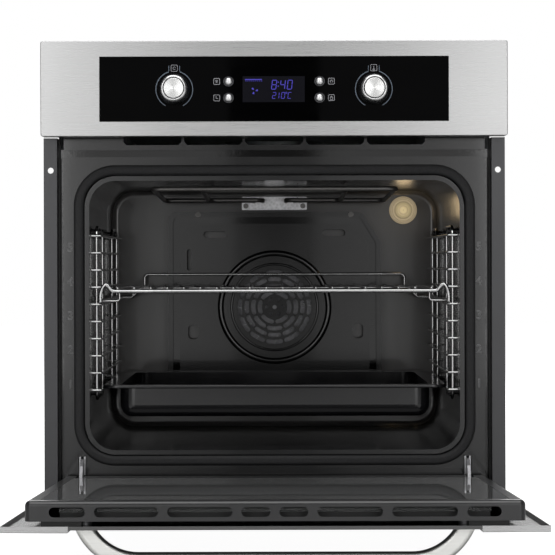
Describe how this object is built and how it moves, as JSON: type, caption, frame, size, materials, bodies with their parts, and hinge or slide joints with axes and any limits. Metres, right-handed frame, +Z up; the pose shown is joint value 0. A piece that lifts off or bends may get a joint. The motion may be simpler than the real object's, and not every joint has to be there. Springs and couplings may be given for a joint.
{
  "type": "built-in wall oven",
  "caption": "Built-in electric wall oven with drop-down door open, black enamel cavity, wire shelf, deep tray, fan grille and stainless control fascia.",
  "frame": {"origin": "on the underside at mid width, in the plane of the cabinet front that the flange's back meets", "axes": "+X to the right seen from the front, +Y into the cabinet, +Z up"},
  "size_m": [0.595, 1.0023, 0.6186],
  "materials": {
    "galvanised": "satin",
    "wool": "matte",
    "black_plastic": "matte",
    "motor_metal": "satin",
    "enamel": "gloss",
    "gasket": "matte",
    "trim_metal": "satin",
    "stainless": "brushed",
    "zinc": "satin",
    "chrome": "polished",
    "element_metal": "satin",
    "lens_glass": "gloss",
    "bulb": "gloss",
    "black_glass": "gloss",
    "tinted_glass": "gloss",
    "clear_glass": "gloss",
    "display": "gloss",
    "board": "matte",
    "handle_metal": "satin",
    "seal": "matte",
    "impeller": "satin"
  },
  "bodies": {
    "chassis": {"base_pan": "galvanised", "left_side_panel": "galvanised", "right_side_panel": "galvanised", "top_panel": "galvanised", "back_panel": "galvanised", "insulation": "wool", "upper_deck": "galvanised", "cooling_fan_housing": "galvanised", "cooling_fan_motor": "motor_metal", "terminal_box": "black_plastic", "front_frame": "enamel", "door_gasket": "gasket", "left_side_trim": "trim_metal", "right_side_trim": "trim_metal", "lower_trim": "stainless", "cavity_liner": "enamel", "fan_baffle": "enamel", "cavity_screws": "element_metal", "element_plate": "zinc", "grill_element": "element_metal", "ring_element": "element_metal", "bottom_element": "element_metal", "convection_motor": "motor_metal", "lamp_housing": "galvanised", "lamp_bulb": "bulb", "lamp_lens": "lens_glass", "left_rack_support": "chrome", "right_rack_support": "chrome", "fascia_steel": "stainless", "fascia_glass": "black_glass", "display_window": "display", "control_carrier": "black_plastic", "control_board": "board", "button_bezels": "chrome", "rotary_switches": "black_plastic", "hinge_arms": "zinc", "hinge_receivers": "zinc"},
    "door": {"door_frame": "enamel", "door_inner_glass": "tinted_glass", "door_middle_glass": "clear_glass", "glass_seals": "seal", "door_outer_glass": "black_glass", "door_left_strip": "stainless", "door_right_strip": "stainless", "skin_carriers": "black_plastic", "door_handle": "handle_metal", "handle_fixings": "zinc", "hinge_cases": "zinc", "hinge_pins": "zinc"},
    "shelf": {"wire_shelf": "chrome"},
    "tray": {"baking_tray": "enamel"},
    "convection_impeller": {"convection_fan": "impeller"},
    "cooling_impeller": {"cooling_fan_rotor": "impeller"},
    "function_selector": {"function_knob": "chrome"},
    "temperature_selector": {"temperature_knob": "chrome"},
    "upper_left_button_cap": {"upper_left_button": "chrome"},
    "lower_left_button_cap": {"lower_left_button": "chrome"},
    "upper_right_button_cap": {"upper_right_button": "chrome"},
    "lower_right_button_cap": {"lower_right_button": "chrome"}
  },
  "joints": [
    {"name": "door_hinge", "type": "hinge", "parent": "chassis", "child": "door", "pos_m": [0, -0.008, 0.021], "axis": [-1, 0, 0], "range_deg": [0, 87.8]},
    {"name": "shelf_slide", "type": "slide", "parent": "chassis", "child": "shelf", "axis": [0, 1, 0], "range_m": [-0.35, 0]},
    {"name": "tray_slide", "type": "slide", "parent": "chassis", "child": "tray", "axis": [0, 1, 0], "range_m": [-0.35, 0]},
    {"name": "convection_fan_spin", "type": "hinge", "parent": "chassis", "child": "convection_impeller", "pos_m": [0, 0.42, 0.24695], "axis": [0, 1, 0], "continuous": true},
    {"name": "cooling_fan_spin", "type": "hinge", "parent": "chassis", "child": "cooling_impeller", "pos_m": [0, 0.31, 0.5], "axis": [0, 0, 1], "continuous": true},
    {"name": "function_knob_turn", "type": "hinge", "parent": "chassis", "child": "function_selector", "pos_m": [-0.127, -0.03, 0.533], "axis": [0, 1, 0], "continuous": true},
    {"name": "temperature_knob_turn", "type": "hinge", "parent": "chassis", "child": "temperature_selector", "pos_m": [0.127, -0.03, 0.533], "axis": [0, 1, 0], "range_deg": [0, 270]},
    {"name": "upper_left_button_press", "type": "slide", "parent": "chassis", "child": "upper_left_button_cap", "axis": [0, 1, 0], "range_m": [0, 0.001], "stiffness_N_per_m": 400},
    {"name": "lower_left_button_press", "type": "slide", "parent": "chassis", "child": "lower_left_button_cap", "axis": [0, 1, 0], "range_m": [0, 0.001], "stiffness_N_per_m": 400},
    {"name": "upper_right_button_press", "type": "slide", "parent": "chassis", "child": "upper_right_button_cap", "axis": [0, 1, 0], "range_m": [0, 0.001], "stiffness_N_per_m": 400},
    {"name": "lower_right_button_press", "type": "slide", "parent": "chassis", "child": "lower_right_button_cap", "axis": [0, 1, 0], "range_m": [0, 0.001], "stiffness_N_per_m": 400}
  ]
}
